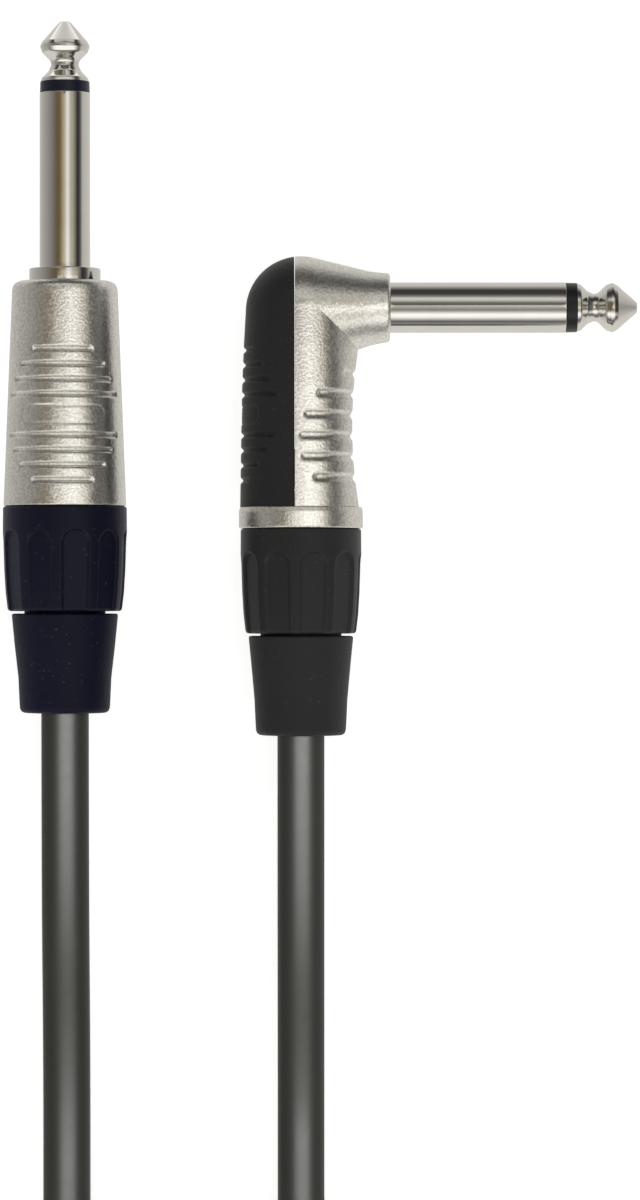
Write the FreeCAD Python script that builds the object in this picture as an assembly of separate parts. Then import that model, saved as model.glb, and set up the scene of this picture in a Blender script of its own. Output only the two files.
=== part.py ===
import FreeCAD, Part

import math
import os

# Instrument cable: a straight phone plug and a right-angle phone plug, each with a screw-down strain
# relief, on one coiled lead. Millimetres, +Z up. Both plugs lie on the surface z = 0. The straight plug
# points along +Y, the right-angle plug's body runs along Y and its shaft points along +X.

# Where the plugs lie
STRAIGHT_X = -32.1
STRAIGHT_TIP_Y = 44.9
ANGLE_X = -2.4
ANGLE_SHAFT_Y = 8.9
AXIS_Z = 7.8

# The jack, the same on both plugs. Lengths are counted back from the end of the tip.
JACK_R = 3.175
TIP_LENGTH = 7.6
TIP_STEP = 0.03
TIP_POINT_R = 0.62
TIP_BALL = 3.2
NECK_R = 1.72
NECK = 5.3
RING_LENGTH = 1.4
RING_STEP = 0.055
SLEEVE_WALL = 0.95
SHOULDER = 31.1
COLLAR_R = 4.48
COLLAR_LENGTH = 1.6
SEAT_STEP = 0.525
SEAT_END = 36.2
ROD_R = 1.1
WASHER_CLEARANCE = 0.8
WASHER_BORE = 2.0
LUG_THICKNESS = 0.6
INSULATOR_THICKNESS = 1.2
INSULATOR_CLEARANCE = 0.2
RIVET_R = 1.7
RIVET_HEIGHT = 0.6
LUG_WIDTH = 3.2
STRAIGHT_LUG_REACH = 14.0
ANGLE_LUG_REACH = 9.0
TIP_LUG_R = 2.4
TIP_LUG_WIDTH = 2.2
STRAIGHT_TIP_LUG_REACH = 9.0
ANGLE_TIP_LUG_REACH = 5.0

# Strain relief, counted back from its seat on the shell
BORE_R = 5.0
THREAD_WALL = 0.9
THREAD_LENGTH = 9.0
THREAD_CLEARANCE = 0.3
CABLE_R = 3.0
COLLET_AHEAD = 3.0
COLLET_HEAD_STEP = 0.5
COLLET_HEAD = 0.9
COLLET_SLOT = 0.8
COLLET_CLEARANCE = 0.05
NUT_LENGTH = 13.2
NUT_REAR_WALL = 1.7
NUT_TAPER = 0.45
NUT_ROUND = 0.5
FLUTES = 10
FLUTE_DEPTH = 0.45
FLUTE_START = 3.0
FLUTE_ANGLE = 26.0
FLUTE_TURN = 6.0
MOVING_GAP = 0.3
BOOT_FLANGE = 1.0
FLANGE_HOLD = 0.8
BOOT_GAP = 0.3
BOOT_LENGTH = 12.5
BOOT_END_R = 5.67
BOOT_BORE_CLEARANCE = 0.3
SEAT_GAP = 0.05

# The stripped end of the cable inside each plug, ahead of the strain relief's seat
JACKET_AHEAD = 5.0
CORE_LENGTH = 5.0
CORE_R = 1.3
WIRE_R = 0.5
SCREEN_R = 0.7
SCREEN_OUT = 2.2
SCREEN_LAP = 2.2
SCREEN_CLEARANCE = 0.1
SOLDER_IN = 1.5
SOLDER_BITE = 0.15

# Straight plug's shell
SHELL_LENGTH = 28.3
SHELL_FRONT_R = 6.6
SHELL_REAR_R = 7.72
SHELL_EDGE = 1.4
SHELL_FRONT_WALL = 3.5
SHELL_BADGE = 17.0
STRAIGHT_NUT_R = 7.8
STRAIGHT_BOOT_R = 6.7

# Right-angle plug's body, with lengths from the shaft's axis
NOSE_END = 11.2
NOSE_END_R = 4.3
NOSE_WAIST = 8.8
NOSE_WAIST_R = 4.62
NOSE_SLOPE = 14.0
DOME_R = 6.95
DOME_SHIFT = 0.5
BODY_REAR_R = 7.65
RING_FACE = 27.8
BODY_RING_R = 7.8
BODY_RING_LENGTH = 2.7
SPLIT_X = -0.74
COVER_GAP = 0.3
COVER_BADGE = 13.6
HOLLOW_R = 60.0
HOLLOW_MIDDLE = 15.0
HOLLOW_DEPTH = 0.85
POCKET_CLEARANCE = 0.1
LUG_CLEARANCE = 0.5
ANGLE_NUT_R = 7.6
ANGLE_BOOT_R = 6.6

# Grip grooves: how far apart, how wide and deep, and half the angle that each one wraps
GROOVE_PITCH = 1.88
GROOVE_R = 0.55
GROOVE_DEPTH = 0.32
BADGE_PITCH = 5.1
BADGE_HALF = 2.6
BADGE_R = 1.0
BADGE_DEPTH = 0.2
GROOVE_WRAPS = [30, 46, 56, 64, 62, 54, 43, 28]
FINGER_FIRST = 8.6
FINGER_PITCH = 2.65
FINGER_R = 0.8
FINGER_WRAPS = [40, 70, 83, 88, 86, 74]

# Lead and coil
COIL_X = -8.0
COIL_Y = -166.0
COIL_INNER_R = 19.5
COIL_OUTER_R = 46.5
COIL_HEIGHT = 21.6
COIL_ROUND = 5.0
TIE_ANGLE = -90.0
TIE_WALL = 1.2
TIE_WIDTH = 16.0

# The leads' corners after each plug's end: straight out, down to the surface and round into the coil
STRAIGHT_CORNERS = [
    (STRAIGHT_X, -60.0, AXIS_Z), (STRAIGHT_X, -86.0, CABLE_R), (STRAIGHT_X, -119.9, CABLE_R),
    (-36.9, -132.8, CABLE_R), (-44.1, -141.7, CABLE_R),
]
ANGLE_CORNERS = [
    (ANGLE_X, -62.5, AXIS_Z), (ANGLE_X, -88.5, CABLE_R), (ANGLE_X, -106.3, CABLE_R),
    (1.4, -116.9, CABLE_R), (8.7, -125.5, CABLE_R), (18.8, -131.2, CABLE_R),
]


def vector(x, y, z):
    return FreeCAD.Vector(x, y, z)


def at(point):
    """An outline's point: radius out along X, distance behind the front along -Y."""
    radius, behind = point
    return vector(radius, -behind, 0)


def turned(*steps):
    """A closed outline turned about the Y axis. A step that holds two points is an arc through the first."""
    edges = []
    here = steps[0]
    for step in steps[1:] + steps[:1]:
        if isinstance(step[0], tuple):
            through, there = step
            edges.append(Part.Arc(at(here), at(through), at(there)).toShape())
        else:
            there = step
            edges.append(Part.LineSegment(at(here), at(there)).toShape())
        here = there
    return Part.Face(Part.Wire(edges)).revolve(vector(0, 0, 0), vector(0, 1, 0), 360)


def tube(outer, inner, front, back):
    return turned((inner, front), (outer, front), (outer, back), (inner, back))


def block(low, high):
    size = [b - a for a, b in zip(low, high)]
    return Part.makeBox(*size, vector(*low))


def partial_ring(radius, thickness, height, facing, half_angle):
    """A round-ended bead round the Y axis at a height, centred on 'facing', in degrees from +X towards +Z."""
    ring = Part.makeTorus(radius, thickness, vector(0, 0, 0), vector(0, 0, 1), 0, 360, 2 * half_angle)
    for angle in (0, 2 * half_angle):
        turn = math.radians(angle)
        end = vector(radius * math.cos(turn), radius * math.sin(turn), 0)
        ring = ring.fuse(Part.makeSphere(thickness, end))
    ring.rotate(vector(0, 0, 0), vector(0, 0, 1), facing - half_angle)
    ring.rotate(vector(0, 0, 0), vector(1, 0, 0), 90)
    ring.translate(vector(0, height, 0))
    return ring


def lead(points, radius):
    """A round tube along straight runs joined by tangent arcs, with its volume checked against its length."""
    corners = [vector(*p) for p in points]
    edges = []
    here = corners[0]
    for before, corner, after in zip(corners, corners[1:], corners[2:]):
        back, on = before - corner, after - corner
        half_turn = (math.pi - back.getAngle(on)) / 2
        reach = 0.45 * min(back.Length, on.Length)
        back.normalize()
        on.normalize()
        start, end = corner + back * reach, corner + on * reach
        arc_radius = reach / math.tan(half_turn)
        to_middle = (back + on).normalize()
        middle = corner + to_middle * (arc_radius / math.cos(half_turn) - arc_radius)
        edges.append(Part.LineSegment(here, start).toShape())
        edges.append(Part.Arc(start, middle, end).toShape())
        print("lead arc radius", round(arc_radius, 1))
        here = end
    edges.append(Part.LineSegment(here, corners[-1]).toShape())
    path = Part.Wire(edges)
    section = Part.Wire(Part.Circle(corners[0], corners[1] - corners[0], radius).toShape())
    solid = path.makePipeShell([section], True, True)
    print("lead length", round(path.Length, 1), "volume share",
          round(solid.Volume / (math.pi * radius**2 * path.Length), 4))
    return solid


# The jack: tip, insulators, sleeve and solder lugs along the Y axis, tip forwards
tip_r = JACK_R - TIP_STEP
ring_r = JACK_R - RING_STEP
seat_r = JACK_R + SEAT_STEP
washer_r = BORE_R - WASHER_CLEARANCE
insulator_r = washer_r - LUG_THICKNESS - INSULATOR_CLEARANCE
ring_end = TIP_LENGTH + RING_LENGTH
sleeve_bore = JACK_R - SLEEVE_WALL
lug_front = SEAT_END
insulator_front = lug_front + LUG_THICKNESS
tip_lug_front = insulator_front + INSULATOR_THICKNESS
rivet_front = tip_lug_front + LUG_THICKNESS
rod_end = rivet_front + RIVET_HEIGHT


def jack_tip():
    """Turned ball tip with a waist, on the rod that runs through the plug to its riveted end."""
    cone_r = tip_r - 0.4
    return turned(
        (0, 0), ((TIP_POINT_R, 0.1), (TIP_POINT_R + 0.38, 0.42)), (cone_r, TIP_BALL - 0.76),
        ((tip_r, TIP_BALL), (cone_r + 0.05, TIP_BALL + 0.78)), (NECK_R + 0.3, NECK - 0.5),
        ((NECK_R, NECK), (NECK_R + 0.25, NECK + 0.75)), (ring_r - 0.27, TIP_LENGTH - 0.4),
        (ring_r - 0.12, TIP_LENGTH), (ROD_R, TIP_LENGTH), (ROD_R, rivet_front), (RIVET_R, rivet_front),
        (RIVET_R - 0.3, rod_end), (0, rod_end),
    )


def tip_insulator():
    return tube(ring_r, ROD_R, TIP_LENGTH, ring_end)


def inner_insulator():
    return tube(sleeve_bore, ROD_R, ring_end, SEAT_END)


def sleeve(seat_front):
    """Shaft tube with the seat behind it that the shell holds."""
    return turned(
        (sleeve_bore, ring_end), (JACK_R, ring_end), (JACK_R, seat_front), (seat_r, seat_front),
        (seat_r, SEAT_END), (sleeve_bore, SEAT_END),
    )


def rear_insulator():
    return tube(insulator_r, ROD_R, insulator_front, tip_lug_front)


def lug(bore, outer, front, width, side, reach, folded):
    """A washer with a tongue, folded back along the plug at 'side' or hanging straight down."""
    back = front + LUG_THICKNESS
    washer = tube(outer, bore, front, back)
    if folded:
        low, high = sorted((side * outer, side * (outer - LUG_THICKNESS)))
        tongue = block((-width / 2, -front - reach, low), (width / 2, -front, high))
    else:
        tongue = block((outer * 0.8, -back, -width / 2), (reach, -front, width / 2))
    return washer.fuse(tongue).removeSplitter()


# The strain relief: collet, nut and boot along the Y axis, behind the seat at y = 0
thread_r = BORE_R + THREAD_WALL
nut_bore = thread_r + THREAD_CLEARANCE
collet_head_r = BORE_R + COLLET_HEAD_STEP
flange_r = nut_bore - MOVING_GAP
neck_r = flange_r - FLANGE_HOLD
nut_wall_front = NUT_LENGTH - NUT_REAR_WALL
flange_back = nut_wall_front - MOVING_GAP
flange_front = flange_back - BOOT_FLANGE
collet_end = flange_front - MOVING_GAP
boot_front = NUT_LENGTH + BOOT_GAP
boot_end = boot_front + BOOT_LENGTH
boot_bore = CABLE_R + BOOT_BORE_CLEARANCE


def collet():
    """Slotted plastic sleeve that the nut squeezes on to the cable."""
    head_front = collet_end - COLLET_HEAD
    collet_r = BORE_R - COLLET_CLEARANCE
    body = turned(
        (CABLE_R, -COLLET_AHEAD), (collet_r, -COLLET_AHEAD), (collet_r, head_front),
        (collet_head_r, head_front), (collet_head_r - COLLET_HEAD, collet_end), (CABLE_R, collet_end),
    )
    slot_end = THREAD_LENGTH - 2
    for turn in (0, 90):
        slot = block((-BORE_R, -slot_end, -COLLET_SLOT / 2), (BORE_R, COLLET_AHEAD + 1, COLLET_SLOT / 2))
        slot.rotate(vector(0, 0, 0), vector(0, 1, 0), turn + 45)
        body = body.cut(slot)
    return body


def flute(radius):
    """One round-topped flute's cutter, on the +X side of a nut of that radius."""
    floor = radius - FLUTE_DEPTH
    half = radius * math.sin(math.radians(FLUTE_ANGLE / 2))
    top = FLUTE_START + half
    cutter = Part.makeCylinder(half, 5, vector(floor, -top, 0), vector(1, 0, 0))
    cutter = cutter.fuse(block((floor, -NUT_LENGTH - 1, -half), (floor + 5, -top, half)))
    cutter.rotate(vector(floor, -top, 0), vector(0, 0, 1), -math.degrees(NUT_TAPER / NUT_LENGTH))
    return cutter


def nut(radius):
    """Fluted clamping nut: its bore clears the shell's thread, its rear wall goes round the boot's neck."""
    rear_r = radius - NUT_TAPER
    body = turned(
        (nut_bore, SEAT_GAP), (radius - 0.25, SEAT_GAP), (radius, SEAT_GAP + 0.25),
        (rear_r, NUT_LENGTH - 2 * NUT_ROUND),
        ((rear_r - 0.2, NUT_LENGTH - 0.2), (rear_r - NUT_ROUND, NUT_LENGTH)),
        (neck_r + MOVING_GAP, NUT_LENGTH), (neck_r + MOVING_GAP, nut_wall_front),
        (nut_bore, nut_wall_front),
    )
    cutter = flute(radius)
    for number in range(FLUTES):
        copy = cutter.copy()
        copy.rotate(vector(0, 0, 0), vector(0, 1, 0), number * 360 / FLUTES + FLUTE_TURN)
        body = body.cut(copy)
    return body


def boot(radius):
    """Rubber sleeve: a flange held inside the nut, a neck through its rear wall and a tapering skirt."""
    waist = radius - 0.68 * (radius - BOOT_END_R)
    return turned(
        (boot_bore, flange_front), (flange_r, flange_front), (flange_r, flange_back),
        (neck_r, flange_back), (neck_r, boot_front), (radius, boot_front),
        ((waist, boot_front + 5), (BOOT_END_R, boot_end - 1.4)),
        ((BOOT_END_R - 0.3, boot_end - 0.35), (BOOT_END_R - 1.0, boot_end)), (boot_bore, boot_end),
    )


# The stripped end's wires, measured from the strain relief's seat: the conductor runs to the tip's lug and
# the twisted screen laps on to the ground lug's tongue
core_end = JACKET_AHEAD + CORE_LENGTH
seat_from_front = SHOULDER + COLLAR_LENGTH + SHELL_LENGTH
straight_lug_end = seat_from_front - lug_front - STRAIGHT_LUG_REACH
straight_tip_lug_end = seat_from_front - tip_lug_front - STRAIGHT_TIP_LUG_REACH
straight_solder = (0, straight_tip_lug_end + SOLDER_IN, WIRE_R - SOLDER_BITE - TIP_LUG_R + LUG_THICKNESS)
straight_screen = (
    (0, JACKET_AHEAD, SCREEN_OUT),
    (0, straight_lug_end + SCREEN_LAP, washer_r - LUG_THICKNESS - SCREEN_R + SOLDER_BITE),
)
lug_back_x = NOSE_END + SHOULDER - lug_front - LUG_THICKNESS
tip_lug_back_x = NOSE_END + SHOULDER - rivet_front
angle_solder = (tip_lug_back_x - WIRE_R + SOLDER_BITE, RING_FACE - ANGLE_TIP_LUG_REACH + SOLDER_IN, 0)
angle_screen = (
    (SCREEN_OUT, JACKET_AHEAD, 0),
    (lug_back_x - SCREEN_R + SOLDER_BITE, RING_FACE - ANGLE_LUG_REACH + SCREEN_LAP, 0),
)


def wire(radius, start, end):
    start, end = vector(*start), vector(*end)
    return Part.makeCylinder(radius, (end - start).Length, start, end - start)


# The shells
def badge(radius, facing, height):
    """Cutter for the blank oval recess between the two groups of grooves."""
    floor = radius - BADGE_DEPTH
    pad = block((floor, -BADGE_R, -BADGE_HALF), (radius + 3, BADGE_R, BADGE_HALF))
    for end in (-BADGE_HALF, BADGE_HALF):
        pad = pad.fuse(Part.makeCylinder(BADGE_R, 3, vector(floor, 0, end), vector(1, 0, 0)))
    pad.rotate(vector(0, 0, 0), vector(0, 1, 0), -facing)
    pad.translate(vector(0, height, 0))
    return pad


def grip(radius_at, middle, facing):
    """The eight grip grooves round a badge at the height 'middle', as a list of cutters."""
    cutters = []
    half = len(GROOVE_WRAPS) // 2
    for number, wrap in enumerate(GROOVE_WRAPS):
        step = number - half + (0 if number < half else 1)
        lift = math.copysign(BADGE_PITCH / 2 + GROOVE_PITCH * (abs(step) - 0.5), -step)
        height = middle + lift
        centre = radius_at(height) + GROOVE_R - GROOVE_DEPTH
        cutters.append(partial_ring(centre, GROOVE_R, height, facing, wrap))
    cutters.append(badge(radius_at(middle), facing, middle))
    return cutters


def straight_shell():
    """Turned zinc shell with grip grooves front and back, a front wall for the jack and a rear spigot."""
    shell = turned(
        (seat_r, 0), (SHELL_FRONT_R - SHELL_EDGE, 0),
        ((SHELL_FRONT_R - 0.35, 0.45), (SHELL_FRONT_R, SHELL_EDGE + 0.2)),
        (SHELL_REAR_R, SHELL_LENGTH), (thread_r, SHELL_LENGTH), (thread_r, SHELL_LENGTH + THREAD_LENGTH),
        (BORE_R, SHELL_LENGTH + THREAD_LENGTH), (BORE_R, SHELL_FRONT_WALL), (seat_r, SHELL_FRONT_WALL),
    )
    slope = (SHELL_REAR_R - SHELL_FRONT_R) / SHELL_LENGTH
    for facing in (90, 270):
        for cutter in grip(lambda height: SHELL_FRONT_R - slope * height, -SHELL_BADGE, facing):
            shell = shell.cut(cutter)
    return shell


spigot_end = RING_FACE + THREAD_LENGTH
cover_end = RING_FACE - BODY_RING_LENGTH
body_slope = (BODY_REAR_R - DOME_R) / (cover_end - DOME_SHIFT)


def body_radius(height):
    return DOME_R - body_slope * (height + DOME_SHIFT)


def angle_body():
    """The right-angle body's outside: domed top, tapered barrel and a nose that is tangent to the dome."""
    side = DOME_R * math.sqrt(0.5)
    barrel = turned(
        (0, DOME_SHIFT - DOME_R), ((side, DOME_SHIFT - side), (DOME_R, DOME_SHIFT)), (BODY_REAR_R, cover_end),
        (0, cover_end),
    )
    lean = math.radians(NOSE_SLOPE)
    root_x, root_r = DOME_R * math.sin(lean), DOME_R * math.cos(lean)
    waist_y = -DOME_SHIFT * (NOSE_END - NOSE_WAIST) / (NOSE_END - root_x)
    sections = ((root_x, -DOME_SHIFT, root_r), (NOSE_WAIST, waist_y, NOSE_WAIST_R), (NOSE_END, 0, NOSE_END_R))
    rings = [
        Part.Wire(Part.Circle(vector(x, y, 0), vector(1, 0, 0), radius).toShape())
        for x, y, radius in sections
    ]
    return barrel.fuse(Part.makeLoft(rings, True, True))


def angle_cavity():
    """The space inside the right-angle body: a round bore with a domed top, open to the rear."""
    top = BORE_R * math.sqrt(0.5)
    return turned((0, -BORE_R), ((top, -top), (BORE_R, 0)), (BORE_R, spigot_end + 1), (0, spigot_end + 1))


def split_half(side, gap):
    """The space on one side of the split plane, down to the ring."""
    far = 40
    if side > 0:
        return block((SPLIT_X, -far, -far), (far, far, far))
    return block((-far, -cover_end + gap, -far), (SPLIT_X - gap, far, far))


def angle_shell():
    """Zinc body of the right-angle plug: nose, front half of the barrel, full ring and rear spigot."""
    shell = angle_body().common(split_half(1, 0))
    hollow_x = body_radius(-HOLLOW_MIDDLE) - HOLLOW_DEPTH + HOLLOW_R
    hollow = Part.makeCylinder(HOLLOW_R, 40, vector(hollow_x, -HOLLOW_MIDDLE, -20), vector(0, 0, 1))
    shell = shell.cut(hollow)
    shell = shell.fuse(turned(
        (0, cover_end), (BODY_RING_R - 0.1, cover_end), (BODY_RING_R, cover_end + 0.3),
        (BODY_RING_R, RING_FACE - 0.3), (BODY_RING_R - 0.3, RING_FACE), (thread_r, RING_FACE),
        (thread_r, spigot_end), (0, spigot_end),
    ))
    shell = shell.cut(angle_cavity())
    jack_x = NOSE_END + SHOULDER
    pocket_end = jack_x - lug_front
    pocket_r = washer_r + POCKET_CLEARANCE
    slot_half = LUG_WIDTH / 2 + LUG_CLEARANCE
    shell = shell.cut(Part.makeCylinder(pocket_r, pocket_end, vector(0, 0, 0), vector(1, 0, 0)))
    shell = shell.cut(Part.makeCylinder(seat_r, NOSE_END + 1, vector(0, 0, 0), vector(1, 0, 0)))
    shell = shell.cut(block((0, -ANGLE_LUG_REACH - LUG_CLEARANCE, -slot_half), (pocket_end, 0, slot_half)))
    channel = wire(SCREEN_R + SCREEN_CLEARANCE, *angle_screen)
    channel.translate(vector(0, -RING_FACE, 0))
    shell = shell.cut(channel)
    for number, wrap in enumerate(FINGER_WRAPS):
        height = -FINGER_FIRST - number * FINGER_PITCH
        centre = body_radius(height) + FINGER_R - GROOVE_DEPTH
        shell = shell.cut(partial_ring(centre, FINGER_R, height, 0, wrap))
    return shell


def angle_cover():
    """Snap-on plastic back of the right-angle plug, with the grip grooves on its outside."""
    cover = angle_body().common(split_half(-1, COVER_GAP)).cut(angle_cavity())
    for cutter in grip(body_radius, -COVER_BADGE, 180):
        cover = cover.cut(cutter)
    return cover


# Where each piece goes
def place(shape, x, y, turn=0):
    """A copy of a shape, turned about Z and moved so that its origin lies at (x, y) at the plug's axis."""
    copy = shape.copy()
    copy.rotate(vector(0, 0, 0), vector(0, 0, 1), turn)
    copy.translate(vector(x, y, AXIS_Z))
    return copy


def save(name, shape):
    shape.exportStep(f"parts/{name}.step")
    print(f"{name:28s} solids {len(shape.Solids)} volume {shape.Volume:9.2f} valid {shape.isValid()}")


os.makedirs("parts", exist_ok=True)

shell_y = STRAIGHT_TIP_Y - SHOULDER - COLLAR_LENGTH
straight_seat_y = shell_y - SHELL_LENGTH
angle_seat_y = ANGLE_SHAFT_Y - RING_FACE
angle_tip_x = ANGLE_X + NOSE_END + SHOULDER


def in_straight(shape):
    return place(shape, STRAIGHT_X, STRAIGHT_TIP_Y)


def in_angle(shape):
    return place(shape, angle_tip_x, ANGLE_SHAFT_Y, -90)


collar = tube(COLLAR_R, JACK_R - 0.1, SHOULDER, SHOULDER + COLLAR_LENGTH)
straight_sleeve = sleeve(SHOULDER + COLLAR_LENGTH).fuse(collar).removeSplitter()
angle_sleeve = sleeve(SHOULDER)
for plug, put, plug_sleeve, folded, lug_reach, tip_lug_reach in (
    ("straight", in_straight, straight_sleeve, True, STRAIGHT_LUG_REACH, STRAIGHT_TIP_LUG_REACH),
    ("angle", in_angle, angle_sleeve, False, ANGLE_LUG_REACH, ANGLE_TIP_LUG_REACH),
):
    save(f"{plug}_tip", put(jack_tip()))
    save(f"{plug}_tip_insulator", put(tip_insulator()))
    save(f"{plug}_inner_insulator", put(inner_insulator()))
    save(f"{plug}_sleeve", put(plug_sleeve))
    save(f"{plug}_rear_insulator", put(rear_insulator()))
    ground_lug = lug(WASHER_BORE, washer_r, lug_front, LUG_WIDTH, 1, lug_reach, folded)
    tip_lug = lug(ROD_R, TIP_LUG_R, tip_lug_front, TIP_LUG_WIDTH, -1, tip_lug_reach, folded)
    save(f"{plug}_ground_lug", put(ground_lug))
    save(f"{plug}_tip_lug", put(tip_lug))

save("straight_shell", place(straight_shell(), STRAIGHT_X, shell_y))
save("angle_shell", place(angle_shell(), ANGLE_X, ANGLE_SHAFT_Y))
save("angle_cover", place(angle_cover(), ANGLE_X, ANGLE_SHAFT_Y))

for plug, x, y, nut_r, boot_r in (
    ("straight", STRAIGHT_X, straight_seat_y, STRAIGHT_NUT_R, STRAIGHT_BOOT_R),
    ("angle", ANGLE_X, angle_seat_y, ANGLE_NUT_R, ANGLE_BOOT_R),
):
    save(f"{plug}_collet", place(collet(), x, y))
    save(f"{plug}_nut", place(nut(nut_r), x, y))
    save(f"{plug}_boot", place(boot(boot_r), x, y))

for plug, x, y, solder, screen, corners in (
    ("straight", STRAIGHT_X, straight_seat_y, straight_solder, straight_screen, STRAIGHT_CORNERS),
    ("angle", ANGLE_X, angle_seat_y, angle_solder, angle_screen, ANGLE_CORNERS),
):
    save(f"{plug}_core", place(wire(CORE_R, (0, JACKET_AHEAD, 0), (0, core_end, 0)), x, y))
    save(f"{plug}_conductor", place(wire(WIRE_R, (0, core_end, 0), solder), x, y))
    save(f"{plug}_screen", place(wire(SCREEN_R, *screen), x, y))
    save(f"cable_lead_{plug}", lead([(x, y + JACKET_AHEAD, AXIS_Z)] + corners, CABLE_R))


# The coil and the strap round the coil
def at_coil(shape, turn=0.0):
    copy = shape.copy()
    copy.rotate(vector(0, 0, 0), vector(0, 0, 1), turn)
    copy.translate(vector(COIL_X, COIL_Y, 0))
    return copy


def circle_edges(shape):
    return [edge for edge in shape.Edges if isinstance(edge.Curve, Part.Circle)]


def coil():
    ring = Part.makeCylinder(COIL_OUTER_R, COIL_HEIGHT).cut(Part.makeCylinder(COIL_INNER_R, COIL_HEIGHT))
    ring = ring.makeFillet(COIL_ROUND, circle_edges(ring))
    groove = block((0, -TIE_WIDTH / 2, -1), (COIL_OUTER_R + 1, TIE_WIDTH / 2, TIE_WALL))
    groove.rotate(vector(0, 0, 0), vector(0, 0, 1), TIE_ANGLE)
    return at_coil(ring.cut(groove))


def tie():
    """Flat strap wound once round the coil's section, lying under it on the surface."""
    outer = block((COIL_INNER_R - TIE_WALL, -TIE_WIDTH / 2, 0),
                  (COIL_OUTER_R + TIE_WALL, TIE_WIDTH / 2, COIL_HEIGHT + 2 * TIE_WALL))
    lengthwise = [edge for edge in outer.Edges if abs(edge.tangentAt(edge.FirstParameter).y) > 0.9]
    outer = outer.makeFillet(COIL_ROUND + TIE_WALL, lengthwise)
    inner = block((COIL_INNER_R, -TIE_WIDTH, TIE_WALL), (COIL_OUTER_R, TIE_WIDTH, COIL_HEIGHT + TIE_WALL))
    lengthwise = [edge for edge in inner.Edges if abs(edge.tangentAt(edge.FirstParameter).y) > 0.9]
    inner = inner.makeFillet(COIL_ROUND, lengthwise)
    return at_coil(outer.cut(inner), TIE_ANGLE)


save("cable_coil", coil())
save("cable_tie", tie())
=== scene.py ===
import math

import bmesh
import bpy
import numpy as np
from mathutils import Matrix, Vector


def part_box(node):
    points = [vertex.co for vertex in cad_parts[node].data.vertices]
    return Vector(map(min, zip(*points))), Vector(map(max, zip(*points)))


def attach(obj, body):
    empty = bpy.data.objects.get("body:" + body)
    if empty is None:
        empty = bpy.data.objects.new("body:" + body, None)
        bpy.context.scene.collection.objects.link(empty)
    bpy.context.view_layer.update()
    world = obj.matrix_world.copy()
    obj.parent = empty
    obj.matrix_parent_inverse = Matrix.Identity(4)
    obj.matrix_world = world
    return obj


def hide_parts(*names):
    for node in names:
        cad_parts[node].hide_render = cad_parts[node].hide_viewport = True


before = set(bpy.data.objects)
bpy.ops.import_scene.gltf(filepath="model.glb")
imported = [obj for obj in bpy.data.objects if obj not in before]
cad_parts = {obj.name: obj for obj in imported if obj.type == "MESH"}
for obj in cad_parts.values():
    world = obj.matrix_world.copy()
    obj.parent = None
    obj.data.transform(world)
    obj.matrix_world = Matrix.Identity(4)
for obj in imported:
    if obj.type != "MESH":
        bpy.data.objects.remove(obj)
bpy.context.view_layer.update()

# ---- Camera, table and studio -----------------------------------------------------------------
# The plugs lie side by side on a white table, seen from straight above through a long lens. A white
# tent with dark flags lights them: the flags are what gives plated metal its dark bands.
MM = 0.001
VIEW_HEIGHT = 151 * MM
TIP_ABOVE_CENTRE = 72.8 * MM
CAMERA_RISE = 0.6
SENSOR = 36
tip_low, tip_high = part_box("straight_tip")
axis_z = (tip_low.z + tip_high.z) / 2
tip_end_y = tip_high.y
view_centre_y = tip_end_y - TIP_ABOVE_CENTRE

camera_data = bpy.data.cameras.new("studio_camera")
camera_data.sensor_width = SENSOR
camera_data.lens = SENSOR * CAMERA_RISE / VIEW_HEIGHT
camera = bpy.data.objects.new("studio_camera", camera_data)
camera.location = (0, view_centre_y, axis_z + CAMERA_RISE)
bpy.context.scene.collection.objects.link(camera)
bpy.context.scene.camera = camera
bpy.context.scene.view_settings.view_transform = "Standard"


class Wire:
    """A shader socket in an expression: arithmetic on it adds Math nodes."""

    def __init__(self, finish, socket):
        self.finish = finish
        self.socket = socket

    def maths(self, operation, *values):
        return self.finish.node("ShaderNodeMath", {"operation": operation}, dict(enumerate(values)))

    def __add__(self, other):
        return self.maths("ADD", self, other)

    __radd__ = __add__

    def __sub__(self, other):
        return self.maths("SUBTRACT", self, other)

    def __rsub__(self, other):
        return self.maths("SUBTRACT", other, self)

    def __mul__(self, other):
        return self.maths("MULTIPLY", self, other)

    __rmul__ = __mul__

    def ramp(self, start, end):
        """0 below start, 1 above end and smooth between them."""
        inputs = {"Value": self, "From Min": start, "From Max": end}
        return self.finish.node("ShaderNodeMapRange", {"interpolation_type": "SMOOTHSTEP"}, inputs)


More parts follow.
